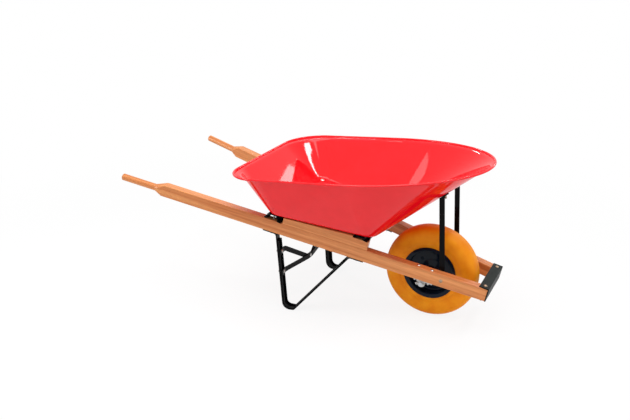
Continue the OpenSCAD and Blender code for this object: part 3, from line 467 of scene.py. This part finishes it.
bm = bmesh.new()
rings = sheet_rings(outside) + sheet_rings(inside)[::-1]
ring = first_ring(bm, rings[0])
bmesh.ops.contextual_create(bm, geom=ring)
for places in rings[1:]:
    ring = raise_ring(bm, ring, places)
bmesh.ops.contextual_create(bm, geom=ring)
bmesh.ops.remove_doubles(bm, verts=bm.verts, dist=0.0001)

turns = []
for k in range(BEAD_SIDES):
    a = 2 * math.pi * k / BEAD_SIDES
    turns.append(rim_ring(BEAD - BEAD * math.cos(a), -BEAD + BEAD * math.sin(a)))
ring = first_ring(bm, turns[0])
for places in turns[1:] + turns[:1]:
    ring = raise_ring(bm, ring, places)
bmesh.ops.remove_doubles(bm, verts=bm.verts, dist=1e-6)
bmesh.ops.recalc_face_normals(bm, faces=bm.faces)
bm.transform(TRAY)
# only the bottom's two faces have more corners, and they stay flat
for face in bm.faces:
    face.smooth = len(face.verts) < 5
mesh = bpy.data.meshes.new("tray_shell")
bm.to_mesh(mesh)
bm.free()

# thick bright red with a mirror-like gloss over it
powder_coat = enamel("red_powder_coat", "#E90A17", "#EE0E1B", roughness=0.35, ripple=0.25,
                     coat=0.75, specular=0.0)
mesh.materials.append(powder_coat)
tray = bpy.data.objects.new("tray_shell", mesh)
bpy.context.collection.objects.link(tray)
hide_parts("tray")
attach(tray, "frame")

# ---- Bolts, nuts and axle brackets ----------------------------------------------------------
# Round-headed bolts with nuts and washers hold the frame together, and two steel brackets hang the
# axle under the handles. All are zinc plated, a bright pale grey. On the guard and the front braces
# the plating has weathered and turned dull.

# spangle of about 8 mm
SPANGLES_PER_METRE = 120


def plated(name, colour, roughness):
    """Plated or ground steel: one grey, with a gloss that changes from spangle to spangle."""
    material = bpy.data.materials.new(name)
    tree = new_tree(material)
    coords = add(tree, "ShaderNodeTexCoord")
    spangle = add(tree, "ShaderNodeTexNoise", {"Vector": coords.outputs["Object"]},
                  {"Scale": SPANGLES_PER_METRE, "Detail": 2, "Roughness": 0.5})
    rough = add(tree, "ShaderNodeMapRange", {0: spangle.outputs["Fac"]},
                {"To Min": roughness - 0.08, "To Max": roughness + 0.12})
    shader = add(tree, "ShaderNodeBsdfPrincipled", {"Roughness": rough.outputs[0]},
                 {"Base Color": lin(colour), "Metallic": 1.0})
    add(tree, "ShaderNodeOutputMaterial", {"Surface": shader.outputs[0]})
    return material


dress(["front_brace_bolts", "front_brace_nuts", "nose_guard_bolts", "nose_guard_nuts"],
      plated("dulled_zinc", "#A08C76", 0.5))
dress(["tray_bolts", "tray_bolt_nuts", "leg_brace_bolts", "leg_brace_nuts", "axle_bracket_right",
       "axle_bracket_left", "axle_bracket_bolts", "axle_bracket_nuts", "axle_washers",
       "axle_cotters", "axle_spacer_right", "axle_spacer_left"],
      plated("zinc_plate", "#B9B8B5", 0.36))

# ---- Axle -----------------------------------------------------------------------------------
# A 16 mm bar of drawn steel, fixed in the brackets and held by a washer and a split pin at each
# end. It is left bare, so it shines a little more than the zinc round it.

dress(["axle"], plated("bright_steel", "#B9BBBE", 0.28))

# ---- Rims, hub and bearings -----------------------------------------------------------------
# Two pressed steel discs, bolted back to back over a hub tube, and all painted gloss black. The
# ground steel rings of two ball bearings are pressed into the tube's ends.

# a harder black than the legs', its blue tint a painted bluish reflection
rim_black_painted_blue_reflection = enamel("rim_gloss_black_painted_blue_reflection", "#0A1420", "#0F1B29", roughness=0.25, ripple=0.15, coat=0.25,
                    specular=0.02)
dress(["rim_right", "rim_left", "hub", "rim_bolts", "rim_nuts"], rim_black_painted_blue_reflection)
dress(["bearing_right", "bearing_left"], plated("bearing_steel", "#A9ABAE", 0.25))

# ---- Tyre -----------------------------------------------------------------------------------
# One solid ring of orange polyurethane foam, moulded with a tight skin and stretched over the
# rims. The skin is all but matt, with cloudy flow marks and a fine grain from the mould.

# flow marks of about 50 mm
FLOW_PER_METRE = 20
# mould grain of 2 mm, coarser than real so that it shows
GRAIN_PER_METRE = 480

foam_skin = bpy.data.materials.new("polyurethane_foam_skin")
tree = new_tree(foam_skin)
coords = add(tree, "ShaderNodeTexCoord")
flow = add(tree, "ShaderNodeTexNoise", {"Vector": coords.outputs["Object"]},
           {"Scale": FLOW_PER_METRE, "Detail": 3, "Roughness": 0.5})
tint = add(tree, "ShaderNodeValToRGB", {"Fac": flow.outputs["Fac"]})
for stop, place, colour in zip(tint.color_ramp.elements, (0.35, 0.65), ("#F08C0A", "#F99F16")):
    stop.position = place
    stop.color = lin(colour)
grain = add(tree, "ShaderNodeTexNoise", {"Vector": coords.outputs["Object"]},
            {"Scale": GRAIN_PER_METRE, "Detail": 2, "Roughness": 0.5})
bump = add(tree, "ShaderNodeBump", {"Height": grain.outputs["Fac"]},
           {"Strength": 0.25, "Distance": 0.0003})
shader = add(tree, "ShaderNodeBsdfPrincipled",
             {"Base Color": tint.outputs["Color"], "Normal": bump.outputs[0]},
             {"Roughness": 0.5, "Specular IOR Level": 0.15})
add(tree, "ShaderNodeOutputMaterial", {"Surface": shader.outputs[0]})
dress(["tyre"], foam_skin)
